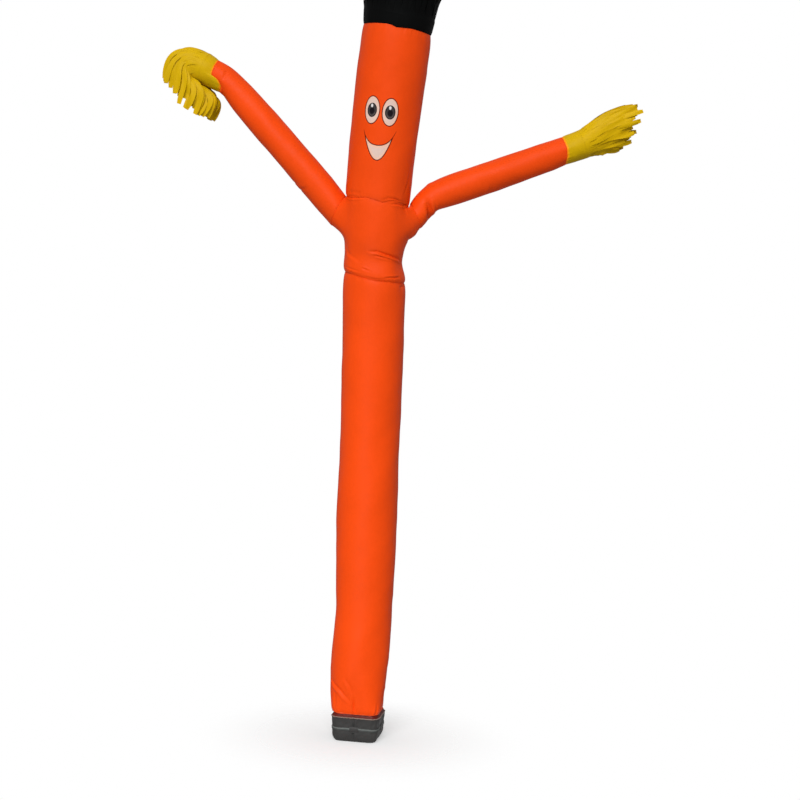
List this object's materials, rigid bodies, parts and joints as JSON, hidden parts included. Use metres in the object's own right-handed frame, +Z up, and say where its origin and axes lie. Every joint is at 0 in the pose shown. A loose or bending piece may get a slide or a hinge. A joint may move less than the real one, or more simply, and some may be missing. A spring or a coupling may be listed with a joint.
{
  "type": "inflatable air dancer",
  "caption": "Inflatable air dancer: tall orange cloth tube with raised tube arms, a black fringe for hair, yellow fringed hands and a square belted cuff at its foot.",
  "frame": {"origin": "on the ground, below the middle of the bounding box", "axes": "+Z up along the body, the face looks towards -Y, +X towards the viewer's right"},
  "size_m": [3.6282, 1.1132, 5.8761],
  "materials": {
    "orange_nylon": "woven ripstop nylon, slight sheen",
    "yellow_nylon": "woven ripstop nylon, slight sheen",
    "black_nylon": "woven ripstop nylon, dull",
    "cuff_cloth": "heavier coated cloth, satin",
    "belt_webbing": "woven webbing, dull"
  },
  "bodies": {
    "root": {"cuff": "cuff_cloth", "belt": "belt_webbing", "belt_loop_front": "cuff_cloth", "belt_loop_right": "cuff_cloth", "belt_loop_back": "cuff_cloth", "belt_loop_left": "cuff_cloth", "lower_body": "orange_nylon", "torso": "orange_nylon", "head": "orange_nylon", "arm_left": "orange_nylon", "arm_right": "orange_nylon", "hand_left": "yellow_nylon", "hand_right": "yellow_nylon", "hand_fringe_left": "yellow_nylon", "hand_fringe_right": "yellow_nylon", "hair_band": "black_nylon", "hair_fringe": "black_nylon"}
  },
  "joints": []
}
